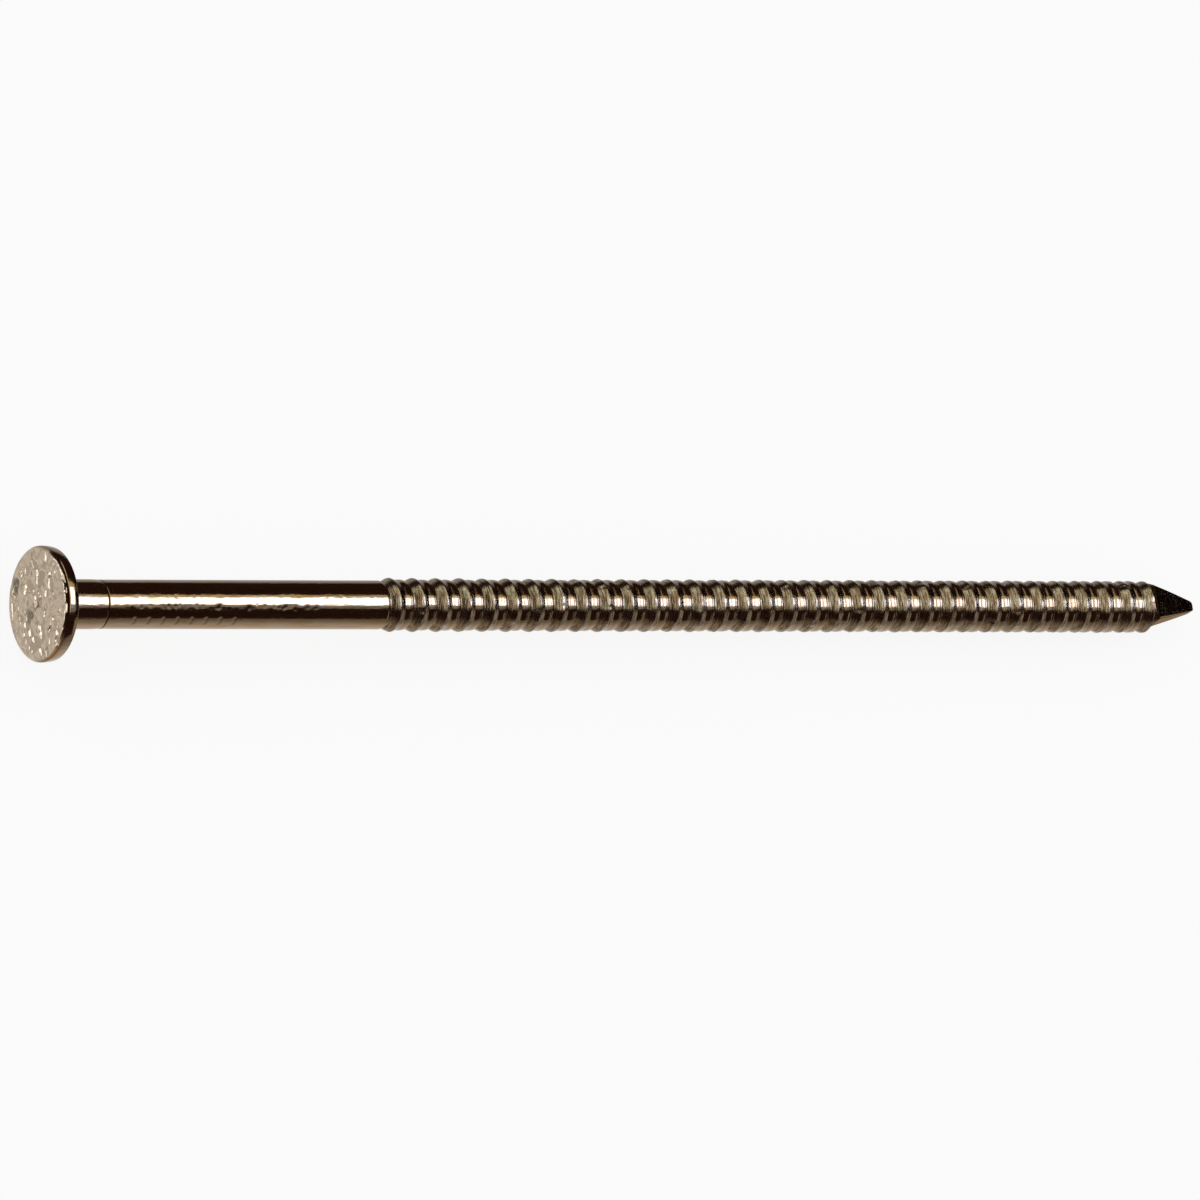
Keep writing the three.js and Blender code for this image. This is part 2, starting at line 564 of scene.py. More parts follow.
def struck_steel(finish):
    """Cold-headed stainless: the punch leaves a pebbled satin face, with painted shade darkening its
    hollows, and the bevel, rim and neck stay smooth and bright."""
    material, tree = bare_material("cold_headed_stainless")
    face = add(tree, "ShaderNodeAttribute", attribute_name="struck").outputs["Fac"]
    hollow = add(tree, "ShaderNodeAttribute", attribute_name="hollow").outputs["Fac"]
    mottle = remapped(tree, stretched_noise(tree, 0.3 * MM, 0.4 * MM), 0.48, 0.7, 0.0, 0.5)
    # Painted shade in the dents and hollows, mixed with random tone from the mottle.
    shade_and_mottle = add(tree, "ShaderNodeMath", {0: hollow, 1: mottle}, operation="MAXIMUM").outputs[0]
    pebbled = mix_colours(tree, shade_and_mottle, opaque(finish.struck), opaque(finish.struck_hollow))
    drawn_colour, drawn_roughness, drawn_normal = drawn_look(tree, finish)
    colour = mix_colours(tree, face, drawn_colour, pebbled)
    grit = stretched_noise(tree, 0.12 * MM, 0.12 * MM, detail=3.0)
    satin = remapped(tree, grit, 0.3, 0.7, 0.14, 0.28)
    roughness = mix_values(tree, face, drawn_roughness, satin)
    gritty = add(tree, "ShaderNodeMath", {0: grit, 1: face}, operation="MULTIPLY").outputs[0]
    normal = bumped(tree, gritty, 11 * MICRON, drawn_normal)
    steel_surface(tree, colour, roughness, normal)
    return material


def rolled_steel(finish):
    """Thread-rolled stainless: the lands keep the bright drawn surface, and the grooves and lips
    are satin, with streaks dragged round the wire by the rolls, drawn as coarse as they need to
    show."""
    material, tree = bare_material("rolled_ring_stainless")
    rolled = add(tree, "ShaderNodeAttribute", attribute_name="rolled").outputs["Fac"]
    drawn_colour, drawn_roughness, drawn_normal = drawn_look(tree, finish)
    streaks = stretched_noise(tree, 0.085 * MM, 0.7 * MM, detail=4.0, roughness=0.6)
    film = remapped(tree, streaks, 0.42, 0.58, 0.0, 1.0)
    streaked = mix_colours(tree, film, opaque(finish.rolled), opaque(finish.rolled_film))
    colour = mix_colours(tree, rolled, drawn_colour, streaked)
    satin = remapped(tree, streaks, 0.3, 0.7, 0.12, 0.22)
    roughness = mix_values(tree, rolled, drawn_roughness, satin)
    share = remapped(tree, rolled, 0.0, 1.0, 0.35, 1.0)
    height = add(tree, "ShaderNodeMath", {0: streaks, 1: share}, operation="MULTIPLY").outputs[0]
    normal = bumped(tree, height, 34 * MICRON, drawn_normal)
    steel_surface(tree, colour, roughness, normal)
    return material


def pinched_steel(finish):
    """Die-pinched stainless: facets pressed almost mirror smooth, with faint slip lines along
    them."""
    material, tree = bare_material("die_pinched_stainless")
    slip = stretched_noise(tree, 1.4 * MM, 0.12 * MM, detail=3.0)
    roughness = remapped(tree, slip, 0.3, 0.7, 0.12, 0.22)
    normal = bumped(tree, slip, 3 * MICRON)
    steel_surface(tree, opaque(finish.pinched), roughness, normal, edge_tint=(0.36, 0.25, 0.13))
    return material


def pale_table(colour):
    """Opal acrylic of a light table: it glows evenly from below, so next to no shadow lies on it,
    and it has no sheen."""
    material, tree = bare_material("opal_acrylic_light_table")
    surface = add(
        tree,
        "ShaderNodeBsdfPrincipled",
        {
            "Base Color": opaque((0.1, 0.1, 0.1)),
            "Roughness": 0.9,
            "Specular IOR Level": 0.0,
            "Emission Color": opaque(colour),
            "Emission Strength": 0.932,
        },
    )
    add(tree, "ShaderNodeOutputMaterial", {"Surface": surface.outputs["BSDF"]})
    return material


# ---- The four zones of the nail ----


def scattered(source, count, radius):
    """Random places spread evenly over a disc: the distance is radius * sqrt(random)."""
    distance = radius * np.sqrt(source.uniform(0, 1, count))
    angle = source.uniform(0, TURN, count)
    return distance * np.cos(angle), distance * np.sin(angle)


def punch_marks(radius):
    """Dents of the striking face as (y, z, size, depth): many small ones, some of them raised, a
    few wide hollows, which also get painted shade, and a few wide flats."""
    source = np.random.default_rng(11)
    small = 430
    across, up = scattered(source, small, radius)
    sizes = source.uniform(0.12, 0.32, small) * MM
    depths = source.uniform(-0.36, 0.34, small) * sizes
    hollows = [
        (-0.1 * MM, -1.25 * MM, 0.46 * MM, 0.07 * MM),
        (0.02 * MM, -0.35 * MM, 0.36 * MM, 0.06 * MM),
        (2.35 * MM, -1.9 * MM, 0.5 * MM, 0.07 * MM),
    ]
    flats = [
        (-1.5 * MM, 1.3 * MM, 0.8 * MM, 0.02 * MM),
        (1.2 * MM, 1.6 * MM, 0.7 * MM, 0.02 * MM),
    ]
    return list(zip(across, up, sizes, depths)), hollows, flats


def head_profile(sizes, angles):
    """Places along the axis and radii of the head before its marks, at each angle. The profile runs
    from the middle of the striking face out over the bevel, which is a straight line made full by
    a quarter of t (1 - t), along the rim's crowned wall, round the lower corner, in along the flat
    underside and down the neck, whose radius falls with the square of the distance to the
    wire's."""
    radius = sizes.head_diameter / 2
    thick = sizes.head_thickness
    wire = sizes.wire_diameter / 2 + SWELL

    place = np.linspace(-1, 1, 15)[:, None]
    drop = RIM_CROWN * ((place - RIM_CREST) / (1 - RIM_CREST)) ** 2
    bevel = FACE_BEVEL * (1 + BEVEL_SWING * np.cos(angles - HEAD_LEAN_SIDE))
    inner = radius - drop[0] - bevel
    innermost = 0.006  # share of the face's radius, inside which a fan closes it
    face_radius = np.linspace(innermost, 1, 150)[:, None] * inner
    face_along = 0 * face_radius
    share = np.linspace(0, 1, 16)[1:-1, None]
    fullness = 0.25 * share * (1 - share)
    bevel_radius = inner + bevel * (share + fullness)
    bevel_along = bevel * (share - fullness)
    wall_radius = radius - drop + 0 * bevel
    wall_along = bevel + (thick - UNDER_ROUNDING - bevel) * (1 + place) / 2
    edge = radius - RIM_CROWN
    tilt = np.linspace(math.radians(100), math.radians(180), 9)
    lower_radius = edge - UNDER_ROUNDING * (1 - np.sin(tilt))
    lower_along = thick - UNDER_ROUNDING * (1 + np.cos(tilt))
    under_radius = np.linspace(edge - UNDER_ROUNDING, sizes.neck_radius, 11)[1:]
    under_along = np.full_like(under_radius, thick)
    fall = np.linspace(0, 1, 16)[1:]
    neck_along = thick + (HEAD_HIGH.x - thick) * fall
    neck_radius = wire + (sizes.neck_radius - wire) * (1 - fall) ** 2
    rear_along = np.concatenate([lower_along, under_along, neck_along])[:, None] + 0 * angles
    rear_radius = np.concatenate([lower_radius, under_radius, neck_radius])[:, None] + 0 * angles
    along = np.concatenate([face_along, bevel_along, wall_along, rear_along])
    radii = np.concatenate([face_radius, bevel_radius, wall_radius, rear_radius])
    return along, radii


def head_rings(sizes):
    """The head's rings of points, with how far each point is on the struck face and how much painted
    shade it gets in a dent or hollow, from 0 to 1. The face of head_profile is pushed in by its
    dents, which break its edge, and the blow has left the head a little oval and out of square."""
    radius = sizes.head_diameter / 2
    angles = even_angles(440)
    along, radii = head_profile(sizes, angles)

    upset = waviness(angles, 1, 7, seed=3)
    oval = RIM_SPREAD + RIM_OVAL * np.cos(angles - HEAD_LEAN_SIDE) ** 2 - RIM_WAVES * upset
    radii = radii * (1 + smooth_step(radii, 0.7 * radius, radius) * oval)
    struck = 1 - smooth_step(along, 0.02 * MM, 0.1 * MM)
    across = -radii * np.cos(angles)
    up = radii * np.sin(angles)
    small, hollows, flats = punch_marks(radius)
    pebbles = np.clip(dented(across, up, small, power=3), -PEBBLE_RISE, PEBBLE_SINK)
    # Opposite the leaning side the face is smooth towards its edge.
    smooth_side = smooth_step(np.cos(angles - HEAD_LEAN_SIDE), 0.3, -0.3)
    pebbles = pebbles * (1 - smooth_side * smooth_step(radii, 0.88 * radius, 0.94 * radius))
    wide = dented(across, up, hollows + flats, power=4)
    depth = np.clip(FACE_SUNK + pebbles + wide, -PEBBLE_PROUD, None)
    # Painted shade: the deeper a point lies in a pebble or wide hollow, the darker it is coloured.
    deepest = sum(0.95 * dented(across, up, [mark], power=4) / mark[3] for mark in hollows)
    hollow = np.clip(pebbles / HALF_SHADED * 0.5 + deepest, 0, 1) * struck
    leaned = HEAD_LEAN * (radii * np.cos(angles - HEAD_LEAN_SIDE))
    leaned = leaned * (1 - smooth_step(along, sizes.head_thickness, HEAD_HIGH.x))
    return turned(along + struck * depth + leaned, radii, angles), struck, hollow


def gripper_notches(sizes, along, angles):
    """Notches of the gripping dies, from 0 to 1: bells along the wire in two opposite rows, each
    with exp(-(angle / reach)^4) round it."""
    notches = np.zeros((len(along), angles.shape[1]))
    for side in (0, math.pi):
        row_angle = NOTCH_ROW + side
        gap = (angles - row_angle + math.pi) % TURN - math.pi
        reach = np.exp(-((gap / NOTCH_REACH) ** 4))
        for number in range(sizes.grip_count):
            at = sizes.grip_start + number * sizes.grip_pitch
            notches += bell(along - at, NOTCH_WIDTH) * reach
    return notches


def handling_dents(sizes, along, angles):
    """Depth of the small round dents that handling leaves: some all along the shank, and most of
    them in two narrow rows above the gripper notches."""
    wire = sizes.wire_diameter / 2
    start, end = HEAD_HIGH.x, SHANK_HIGH.x
    source = np.random.default_rng(23)
    grips_end = sizes.grip_start + (sizes.grip_count + 5) * sizes.grip_pitch
    spots = []
    # How many, the first and last place along the wire, the angle round it and its spread in
    # degrees, and the deepest in millimetres.
    for count, first, last, angle, spread, deepest in (
        (90, start, end, 60, 40, 0.005),
        (110, sizes.grip_start - 0.8 * MM, grips_end, 54, 4, 0.014),
        (70, sizes.grip_start, end, 80, 4, 0.006),
    ):
        spots += zip(
            source.uniform(first, last, count),
            source.normal(math.radians(angle), math.radians(spread), count) * wire,
            source.uniform(0.06, 0.17, count) * MM,
            source.uniform(0.1, 1, count) * deepest * MM,
        )
    return dented(along, angles * wire, spots, wrap=TURN * wire)


def plain_shank_rings(sizes):
    """The plain shank's rings of points, with how much painted shade darkens each point in the die
    line, from 0 to 1. The radius is the wire's plus the swell, which fades before the die line, less
    a round-bottomed line there, less the gripper notches and handling dents, which fade to nothing
    at the ends."""
    wire = sizes.wire_diameter / 2
    start, end = HEAD_HIGH.x, SHANK_HIGH.x
    coarse = np.linspace(start, end, 380)
    fine = sizes.die_line + np.linspace(-0.2, 0.2, 27) * MM
    along = np.unique(np.concatenate([coarse, fine]))[:, None]
    angles = even_angles(192)

    from_line = along - sizes.die_line
    swell_fades = smooth_step(along, sizes.die_line - SWELL_FADES_OVER, sizes.die_line)
    radii = wire + SWELL * (1 - swell_fades)
    radii = radii - LINE_DEPTH * bell(from_line, LINE_WIDTH)
    # Painted shade: the die line's groove is darkened in colour.
    soiled = np.clip(1.3 * bell(from_line, LINE_SHADE_WIDTH), 0, 1) + 0 * angles

    fade = 0.3 * MM
    marked = smooth_step(along, start, start + fade) * (1 - smooth_step(along, end - fade, end))
    notches = gripper_notches(sizes, along, angles)
    dents = handling_dents(sizes, along, angles)
    radii = radii - marked * (NOTCH_DEPTH * notches + dents)
    return turned(along, radii, angles), soiled


def ring_profile(share, ring, rings):
    """Radius of one ring as a share of the wire's, from a share of the pitch: straight lines
    between the last land's end, the groove's root, the lip and the next land, with the slope to
    the lip made full, v being 1 - (1 - v)^fullness up it, and the corners rounded by averaging. A
    land is then a parabola as high as its crown, let down by a share of the crown within the first
    and last few hundredths of the pitch, so that it catches the light in its middle."""
    settled = ring / (rings - 1)
    before = np.interp(settled - 1 / rings, (0, 1), LAND_END_RADII) if ring else 1.0
    land_start = np.interp(settled, (0, 1), LAND_START_RADII)
    land_end = np.interp(settled, (0, 1), LAND_END_RADII)
    lip = LIP_RADIUS + FIRST_LIP_EXTRA * math.exp(-ring / LIP_SETTLES_OVER)
    land_slope = (land_end - land_start) / LAND_WIDTH
    run_in = 0.3  # of the land before the groove, which the averaging takes in
    climb = np.linspace(0, 1, 13)
    fullness = np.interp(settled, (0, 1), SLOPE_FULLNESS)
    slope = ROOT_RADIUS + (lip - ROOT_RADIUS) * (1 - (1 - climb) ** fullness)
    slope_keys = GROOVE_ROOT * (1 - climb)
    keys = [GROOVE_START - run_in, GROOVE_START, *slope_keys, LAND_START, LAND_START + 1]
    values = [before - run_in * land_slope, before, *slope, land_start, land_start + land_slope]
    shifts = np.linspace(-CORNER_AVERAGE, CORNER_AVERAGE, 9)
    profile = np.mean([np.interp(share + shift, keys, values) for shift in shifts], axis=0)
    crown = np.interp(settled, (0, 1), LAND_CROWN)
    place = np.where(share > 0, share, share + 1) - LAND_START
    bulge = np.clip(1 - (2 * place / LAND_WIDTH - 1) ** 2, 0, None)
    if ring == 0:  # the plain shank comes before the first groove, not a land
        bulge = np.where(share > 0, bulge, 0)
    return profile + crown * (bulge - CROWN_LET_DOWN * np.clip(4 * bulge, 0, 1))


def lip_share(share):
    """1 at the lip, 0 at the groove's root and at the next land, straight between them."""
    return np.interp(share, [GROOVE_ROOT, 0, LAND_START], [0, 1, 0])


def ringed_shank_rings(sizes):
    """The ringed shank's rings of points, with how far each point is in a rolled groove, from 0 to
    1: ring_profile repeated at the pitch, each lip slightly wavy in height and place and each land
    in height, with a few small nicks in the lips."""
    wire = sizes.wire_diameter / 2
    pitch = sizes.ring_pitch
    rings = sizes.ring_count
    last_lip = RINGS_HIGH.x - LIP_TO_POINT * pitch
    lips = last_lip - (rings - 1 - np.arange(rings)) * pitch
    groove = [-0.5, -0.48, -0.46, -0.44, -0.41, -0.385, -0.365, -0.345, -0.32]
    slope = [-0.27, -0.22, -0.17, -0.12, -0.07, -0.04, -0.02]
    lip = [0.0, 0.02, 0.04, 0.08, 0.13, 0.16, 0.18, 0.2]
    share = np.array(groove + slope + lip + [0.28, 0.38, 0.46])
    angles = even_angles(104)

    height = waviness(angles, rings, 6, seed=5)[:, None, :]
    drift = waviness(angles, rings, 4, seed=8)[:, None, :]
    sway = waviness(angles, rings, 5, seed=13)[:, None, :]
    source = np.random.default_rng(31)
    nicks = np.zeros((rings, 1, angles.shape[1]))
    for _ in range(NICKS_PER_RING):
        at = source.uniform(0, TURN, (rings, 1))
        width = source.uniform(0.06, 0.15, (rings, 1))
        deep = source.uniform(0.0, NICK_DEPTH, (rings, 1))
        gap = (angles - at + math.pi) % TURN - math.pi
        nicks += (deep * bell(gap, width))[:, None, :]
    raised = lip_share(share)[None, :, None]
    profile = np.stack([ring_profile(share, ring, rings) for ring in range(rings)])[:, :, None]
    uneven = raised * (LIP_WAVES * height - nicks) + LAND_WAVES * sway * (1 - raised)
    radii = wire * (profile + uneven)
    along = lips[:, None, None] + pitch * (share[None, :, None] + LIP_DRIFT * raised * drift)
    blend = 0.03  # of the pitch, over which satin turns to bright
    rolled = smooth_step(share, GROOVE_START, GROOVE_START + blend)
    rolled = rolled * (1 - smooth_step(share, LAND_START - blend, LAND_START + blend))

    rows = share.size * rings
    radii = radii.reshape(rows, -1)
    along = along.reshape(rows, -1)
    rolled = np.broadcast_to(np.tile(rolled, rings)[:, None], radii.shape)
    middle = along.mean(axis=1)
    margin = 0.01 * MM
    inside = (middle > RINGS_LOW.x + margin) & (middle < RINGS_HIGH.x - margin)
    # The flat ends, which meet the neighbouring zones: place, radius and how rolled.
    first = [np.full((1, radii.shape[1]), value) for value in (RINGS_LOW.x, wire, 0.0)]
    last = [np.full((1, radii.shape[1]), value) for value in (RINGS_HIGH.x, wire, 1.0)]
    along = np.concatenate([first[0], along[inside], last[0]])
    radii = np.concatenate([first[1], radii[inside], last[1]])
    rolled = np.concatenate([first[2], rolled[inside], last[2]])
    return turned(along, radii, angles), rolled


def point_rings(sizes):
    """The point's rings of points. A facet's distance from the axis falls quickly over a shoulder
    and then along a slightly full taper to a rounded blunt tip. The radius is the smaller of the
    wire's and the facet's distance / cos(angle from the facet's middle), with the arrises rounded
    off a little, and the tip leans to one side."""
    wire = sizes.wire_diameter / 2
    start, end = POINT_LOW.x, POINT_HIGH.x
    length = end - start
    coarse = np.linspace(0, length - TIP_ROUNDING, 125)
    fine = length - np.linspace(0, 0.29, 18) * MM
    along = np.unique(np.concatenate([coarse, fine]))[:, None]
    per_facet = 60
    quarter = math.pi / 2
    step = (np.arange(4 * per_facet) / per_facet)[None, :]
    angles = sizes.point_turn + step * quarter
    from_middle = (step % 1 - 0.5) * quarter

    millimetres = along / MM
    taper = TAPER_START - TAPER_SLOPE * millimetres - TAPER_CURVE * millimetres**2
    to_shoulder_end = np.clip(1 - millimetres / SHOULDER_LENGTH, 0, None)
    shoulder = SHOULDER_RISE * to_shoulder_end**SHOULDER_POWER
    into_tip = np.clip((along - (length - TIP_ROUNDING)) / TIP_ROUNDING, 0, 1)
    facet = wire * (taper + shoulder) * np.sqrt(1 - TIP_CLOSING * into_tip**2)
    flat = facet / np.cos(from_middle)
    arris = facet * math.sqrt(2) * (1 - ARRIS_ROUNDING)
    radii = np.minimum(np.minimum(wire, flat), arris)
    points = turned(start + along, radii, angles)
    points[..., 2] -= TIP_LEAN * smooth_step(along, 0.5 * MM, length)
    return points


class NailOperator:
    """What the nail's operators share: its settings, kept on the scene."""

    bl_options = {"REGISTER", "UNDO"}

    def settings(self, context):
        """The nail's sizes and its finishes."""
        return context.scene.nail_sizes, context.scene.nail_finish


class NAIL_OT_head(NailOperator, bpy.types.Operator):
    """Makes the flat head with its pebbled striking face, bevel, smooth rim and neck"""

    bl_idname = "nail.head"
    bl_label = "Head"

    def execute(self, context):
        sizes, finish = self.settings(context)
        rings, struck, hollow = head_rings(sizes)
        mesh = closed_skin("struck_head", rings, struck=struck, hollow=hollow)
        piece("struck_head", mesh, struck_steel(finish), "head")
        return {"FINISHED"}


class NAIL_OT_plain_shank(NailOperator, bpy.types.Operator):
    """Makes the plain shank with its die line and gripper marks"""

    bl_idname = "nail.plain_shank"
    bl_label = "Plain shank"

    def execute(self, context):
        sizes, finish = self.settings(context)
        rings, soiled = plain_shank_rings(sizes)
        mesh = closed_skin("drawn_shank", rings, soiled=soiled)
        piece("drawn_shank", mesh, drawn_wire(finish), "plain_shank")
        return {"FINISHED"}


class NAIL_OT_ringed_shank(NailOperator, bpy.types.Operator):
    """Makes the ringed shank with its grooves, lips and lands"""

    bl_idname = "nail.ringed_shank"
    bl_label = "Ringed shank"

    def execute(self, context):
        sizes, finish = self.settings(context)
        rings, rolled = ringed_shank_rings(sizes)
        mesh = closed_skin("rolled_shank", rings, rolled=rolled)
        piece("rolled_shank", mesh, rolled_steel(finish), "ringed_shank")
        return {"FINISHED"}


class NAIL_OT_point(NailOperator, bpy.types.Operator):
    """Makes the four-facet diamond point"""

    bl_idname = "nail.point"
    bl_label = "Diamond point"

    def execute(self, context):
        sizes, finish = self.settings(context)
        mesh = closed_skin("pinched_point", point_rings(sizes))
        piece("pinched_point", mesh, pinched_steel(finish), "diamond_point")
        return {"FINISHED"}


# ---- The stage ----

# What the nail reflects. Each light has its reach round the nail and its softness, its reach towards
# the tip and its softness, all in degrees, and its colour. The studio's dark walls fill the rest.
SOFT_BOX_SIDE = 62  # degrees round the nail
STUDIO_LIGHTS = (
    (62, 95, 4, 16, 42, 6, (6.5, 7.6, 11.0)),  # soft box
    (92, 107, 6, 8, 47, 8, (1.35, 1.3, 1.0)),  # its warm rear edge
    (47, 70, 10, 8, 47, 8, (0.55, 0.6, 0.66)),  # its front edge
    (58, 98, 12, 3, 14, 8, (1.9, 1.95, 1.85)),  # strip light nearer the head
    (48, 148, 12, -24, 8, 16, (1.75, 1.85, 1.6)),  # ceiling card
    (-50, 24, 16, 46, 84, 12, (0.7, 0.67, 0.6)),  # low card beyond the tip
)
TABLE_GLOW = (0.97, 0.96, 0.93)
# How the table brightens below the horizon: each ramp has its share and its two ends in degrees.
NEAR_TABLE = ((0.42, 2, 12), (0.58, 12, 46))
FAR_TABLE = ((0.6, -2, 12), (0.4, 25, 60))
WARMTH = (0.08, -0.12, -0.32)  # of the table on the near side of the head
SIDE_GLOW = (2.8, 2.95, 3.2)  # a leaning card beyond the head
WALL_GLOW = (0.045, 0.022, 0.02)

# Sizes of the stage in metres, the place along the nail that the camera looks at with its height
# over the axis in the camera's frame, and the strength of the sky.
FLOOR_HALF = 2.0
FLOOR_GAP = 0.005 * MM
STUDIO_RADIUS = 3.0
BACKDROP_RADIUS = 2.5
LOOKED_AT = 39.77 * MM
LOOKED_OVER = 0.347 * MM
SKY_STRENGTH = 0.7

SEEN_BY = ("camera", "diffuse", "glossy", "transmission", "volume_scatter", "shadow")


def stage_object(name, mesh, material, seen_by):
    """Puts a mesh into the scene as part of the stage, seen only by the kinds of ray named."""
    made = bpy.data.objects.new(name, mesh)
    bpy.context.scene.collection.objects.link(made)
    mesh.materials.append(material)
    for kind in SEEN_BY:
        setattr(made, f"visible_{kind}", kind in seen_by)


def rectangle(name, middle, right, up):
    """A flat rectangle: its middle, and the vectors from it to its right and upper edges."""
    signs = np.array([[-1, -1], [1, -1], [1, 1], [-1, 1]])
    points = np.array(middle) + signs @ np.array([right, up])
    mesh = bpy.data.meshes.new(name)
    mesh.from_pydata(points.tolist(), [], [[0, 1, 2, 3]])
    return mesh


def dome(name, radius):
    """A dome of that radius over the floor: x, y, z from the angle round it and the height, from
    a little below the floor to its top."""
    around = np.linspace(0, TURN, 48, endpoint=False)[None, :]
    rise = np.linspace(-0.1, math.pi / 2 - 0.02, 16)[:, None]
    across = radius * np.cos(rise)
    points = np.stack(
        [across * np.cos(around), across * np.sin(around), radius * np.sin(rise) + 0 * around],
        axis=-1,
    )
    here = np.arange(points.shape[0] * points.shape[1]).reshape(points.shape[:2])
    quads = joined(here, np.roll(here, -1, axis=1))
    mesh = bpy.data.meshes.new(name)
    mesh.from_pydata(points.reshape(-1, 3).tolist(), [], [*quads.tolist(), here[-1].tolist()])
    return mesh


def window(value, low, high, soft):
    """1 between low and high, falling smoothly to 0 over soft on each side, half of it outside."""
    rise = smooth_step(value, low - soft / 2, low + soft / 2)
    return rise * (1 - smooth_step(value, high - soft / 2, high + soft / 2))


def studio_glow(around, ahead):
    """What the nail sees in each direction, as red, green and blue. A direction is given by its
    angle round the nail's axis, from -Y up to +Z, and its angle towards the tip, in degrees."""
    flat = np.cos(np.radians(ahead))
    x, y = np.sin(np.radians(ahead)), -flat * np.cos(np.radians(around))
    height = np.degrees(np.arcsin(flat * np.sin(np.radians(around))))
    # The walls are nearly black beyond the tip.
    walls = 1 - 0.9 * smooth_step(ahead + 0 * around, 44, 56)
    glow = walls[..., None] * np.array(WALL_GLOW)
    for low, high, soft, behind, before, soft_ahead, colour in STUDIO_LIGHTS:
        share = window(around, low, high, soft) * window(ahead, behind, before, soft_ahead)
        glow = np.maximum(glow, share[..., None] * colour)

    # The near part of the table is dimmer and warmer towards the head, and the far part starts at
    # the horizon. All of it is dim well beyond the tip.
    near = sum(share * smooth_step(-height, low, high) for share, low, high in NEAR_TABLE)
    near = near * (0.6 + 0.4 * smooth_step(x, 0.1, 0.4))
    far = sum(share * smooth_step(-height, low, high) for share, low, high in FAR_TABLE)
    beyond = smooth_step(y, -0.15, 0.15)
    table = (near + (far - near) * beyond) * (1 - 0.7 * smooth_step(x, 0.62, 0.85))
    warmth = (smooth_step(-x, -0.1, 0.25) * (1 - beyond))[..., None] * np.array(WARMTH)
    glow = np.maximum(glow, table[..., None] * TABLE_GLOW * (1 + warmth))

    # The card stands beyond the head and is square to the soft box's side.
    from_soft_box = np.radians(around - SOFT_BOX_SIDE)
    side = window(flat * np.cos(from_soft_box), -0.52, 0.05, 0.1) * smooth_step(-x, 0.5, 0.65)
    side = side * window(flat * np.sin(from_soft_box), -0.25, 0.55, 0.15)
    return np.maximum(glow, side[..., None] * np.array(SIDE_GLOW))


def studio(name, radius):
    """A sphere round the middle of the nail, coloured on its points by studio_glow."""
    around = np.linspace(-90, 270, 300, endpoint=False)[None, :]
    ahead = np.linspace(-89.9, 89.9, 150)[:, None]
    glow = studio_glow(around, ahead)
    flat = radius * np.cos(np.radians(ahead))
    middle = (CAD_BOX[0][0] + CAD_BOX[1][0]) / 2
    x = middle + radius * np.sin(np.radians(ahead)) + 0 * around
    rings = turned(x, flat, np.radians(around))
    channels = {key: glow[..., i] for i, key in enumerate(("red", "green", "blue"))}
    return closed_skin(name, rings, **channels)


def glow_with(material, colour):
    """Makes a surface give off light of that colour, a value or a link. It is not sampled as a lamp,
    because only the rays that meet it need it."""
    tree = material.node_tree
    light = add(tree, "ShaderNodeEmission", {"Color": colour, "Strength": 1.0})
    add(tree, "ShaderNodeOutputMaterial", {"Surface": light.outputs[0]})
    material.cycles.emission_sampling = "NONE"


def backdrop_paper(colour):
    """White backdrop paper, lit evenly."""
    material, _ = bare_material("white_backdrop_paper")
    glow_with(material, opaque(colour))
    return material


def studio_cloth():
    """Cloth and card lit to the colours that the studio's points carry."""
    material, tree = bare_material("studio_cloth")
    parts = {
        key.title(): add(tree, "ShaderNodeAttribute", attribute_name=key).outputs["Fac"]
        for key in ("red", "green", "blue")
    }
    glow_with(material, add(tree, "ShaderNodeCombineColor", parts).outputs[0])
    return material


def lay_floor(sizes, colour):
    """A flat table top. The nail lies on its head's rim and its last ring, so the floor leans by
    the angle between them."""
    wire = sizes.wire_diameter / 2
    rim_x, rim_z = sizes.head_thickness / 2, -sizes.head_diameter / 2
    lip_x, lip_z = RINGS_HIGH.x - LIP_TO_POINT * sizes.ring_pitch, -LIP_RADIUS * wire
    slope = (lip_z - rim_z) / (lip_x - rim_x)
    mesh = rectangle(
        "floor",
        (rim_x, 0, rim_z - FLOOR_GAP),
        (FLOOR_HALF, 0, FLOOR_HALF * slope),
        (0, FLOOR_HALF, 0),
    )
    stage_object("floor", mesh, pale_table(colour), ("camera", "diffuse", "shadow"))


def aim_camera(stage):
    """Places the camera. Its direction from the nail has -sin(lean) along the nail and the rest
    square to it, raised by its height angle; the picture's right is the nail's own direction."""
    lean, height, roll = stage.camera_lean, stage.camera_height, stage.camera_roll
    square = Vector((0, -math.cos(height), math.sin(height)))
    back = -math.sin(lean) * Vector((1, 0, 0)) + math.cos(lean) * square
    right = math.cos(lean) * Vector((1, 0, 0)) + math.sin(lean) * square
    up = back.cross(right)
    rolled_right = math.cos(roll) * right + math.sin(roll) * up
    rolled_up = back.cross(rolled_right)
    target = Vector((LOOKED_AT, 0, 0)) + LOOKED_OVER * up
    place = Matrix((rolled_right, rolled_up, back)).transposed().to_4x4()
    place.translation = target + stage.camera_distance * back

    lens = bpy.data.cameras.new("camera")
    lens.lens = stage.lens
    lens.sensor_width = 36
    lens.clip_start = 0.05
    lens.clip_end = 20
    camera = bpy.data.objects.new("camera", lens)
    camera.matrix_world = place
    bpy.context.scene.collection.objects.link(camera)
    bpy.context.scene.camera = camera


def light_the_room():
    """An even white sky, which reaches the floor: the studio hides it from the steel."""
    world = bpy.data.worlds.new("room")
    world.use_nodes = True
    world.node_tree.nodes.clear()
    sky = add(
        world.node_tree,
        "ShaderNodeBackground",
        {"Color": opaque(linear("#FFFFFF")), "Strength": SKY_STRENGTH},
    )
    add(world.node_tree, "ShaderNodeOutputWorld", {"Surface": sky.outputs[0]})
    bpy.context.scene.world = world


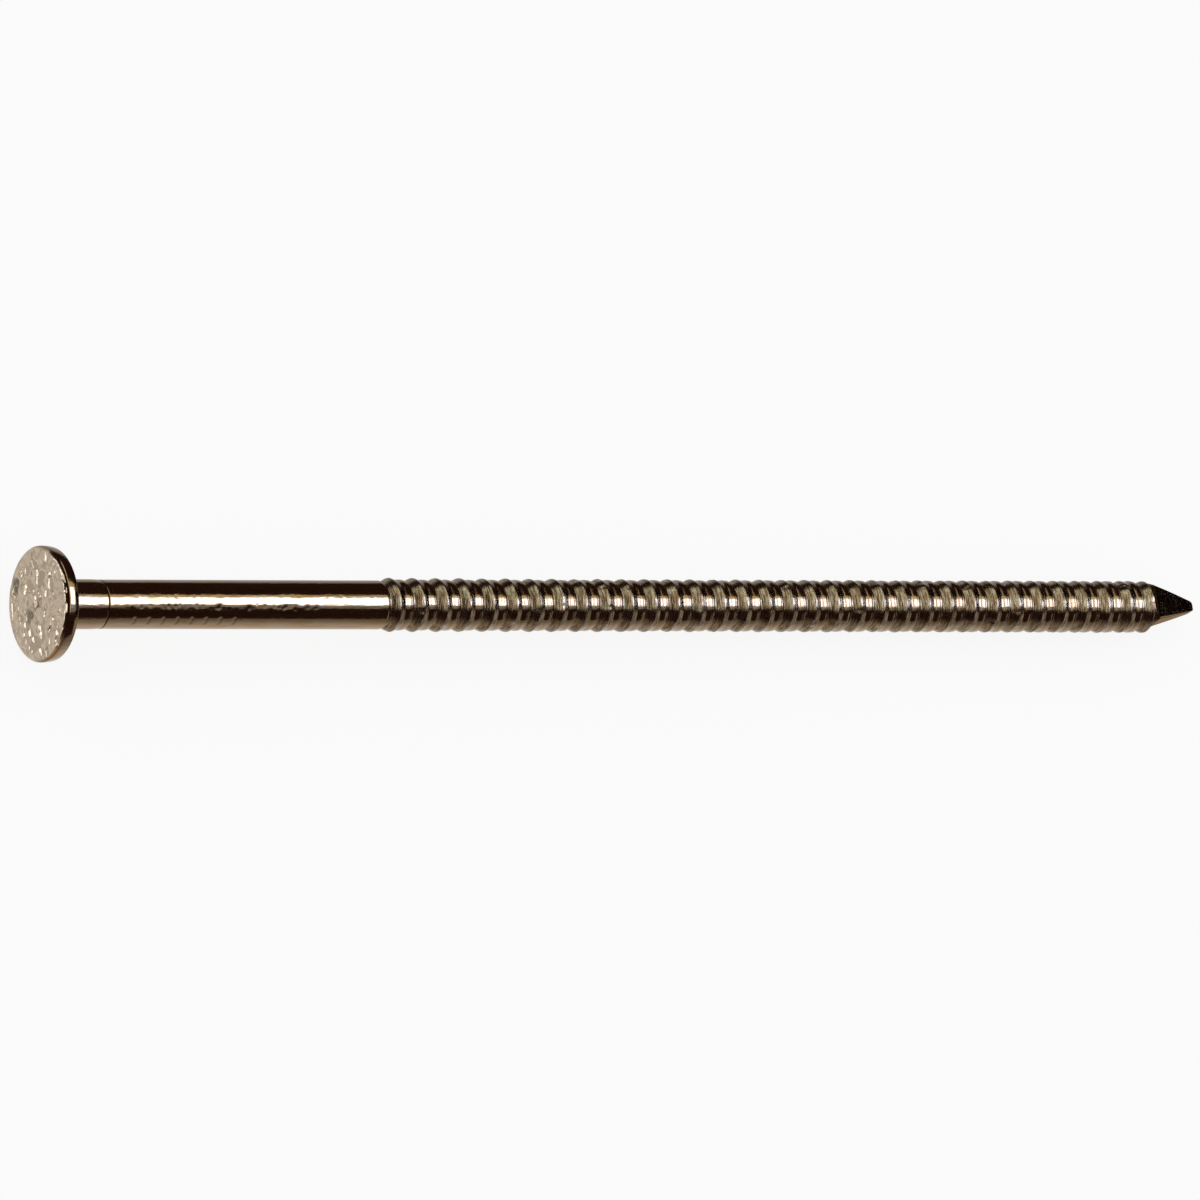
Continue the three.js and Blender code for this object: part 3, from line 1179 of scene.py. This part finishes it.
class NAIL_OT_stage(NailOperator, bpy.types.Operator):
    """Lays the floor, aims the camera, and sets up the light, the studio and the backdrop"""

    bl_idname = "nail.stage"
    bl_label = "Floor, light and camera"

    def execute(self, context):
        sizes, _ = self.settings(context)
        stage = context.scene.nail_stage
        lay_floor(sizes, stage.floor)
        aim_camera(stage)
        light_the_room()
        stage_object("studio", studio("studio", STUDIO_RADIUS), studio_cloth(), ("glossy",))
        backdrop = dome("backdrop", BACKDROP_RADIUS)
        stage_object("backdrop", backdrop, backdrop_paper(stage.floor), ("camera",))
        context.scene.view_settings.view_transform = "Standard"
        return {"FINISHED"}


class NAIL_PT_panel(bpy.types.Panel):
    """The nail's sizes, finishes and operators in the 3D view's sidebar"""

    bl_idname = "NAIL_PT_panel"
    bl_label = "Ring-shank nail"
    bl_space_type = "VIEW_3D"
    bl_region_type = "UI"
    bl_category = "Nail"

    def draw(self, context):
        for group in ("nail_sizes", "nail_finish", "nail_stage"):
            box = self.layout.box()
            settings = getattr(context.scene, group)
            for key in settings.bl_rna.properties.keys():
                if key not in ("rna_type", "name"):
                    box.prop(settings, key)
        for operator in OPERATORS:
            self.layout.operator(operator.bl_idname)


OPERATORS = (
    NAIL_OT_stage,
    NAIL_OT_head,
    NAIL_OT_plain_shank,
    NAIL_OT_ringed_shank,
    NAIL_OT_point,
)
CLASSES = (NailSizes, NailFinish, NailStage, *OPERATORS, NAIL_PT_panel)


def register():
    """Registers the classes and puts the settings on the scene."""
    for each in CLASSES:
        bpy.utils.register_class(each)
    bpy.types.Scene.nail_sizes = PointerProperty(type=NailSizes)
    bpy.types.Scene.nail_finish = PointerProperty(type=NailFinish)
    bpy.types.Scene.nail_stage = PointerProperty(type=NailStage)


def unregister():
    """Takes the settings off the scene and unregisters the classes."""
    for name in ("nail_sizes", "nail_finish", "nail_stage"):
        delattr(bpy.types.Scene, name)
    for each in reversed(CLASSES):
        bpy.utils.unregister_class(each)


def main():
    """Builds the stage and the nail."""
    register()
    bpy.ops.nail.stage()
    bpy.ops.nail.head()
    bpy.ops.nail.plain_shank()
    bpy.ops.nail.ringed_shank()
    bpy.ops.nail.point()


if __name__ == "__main__":
    main()
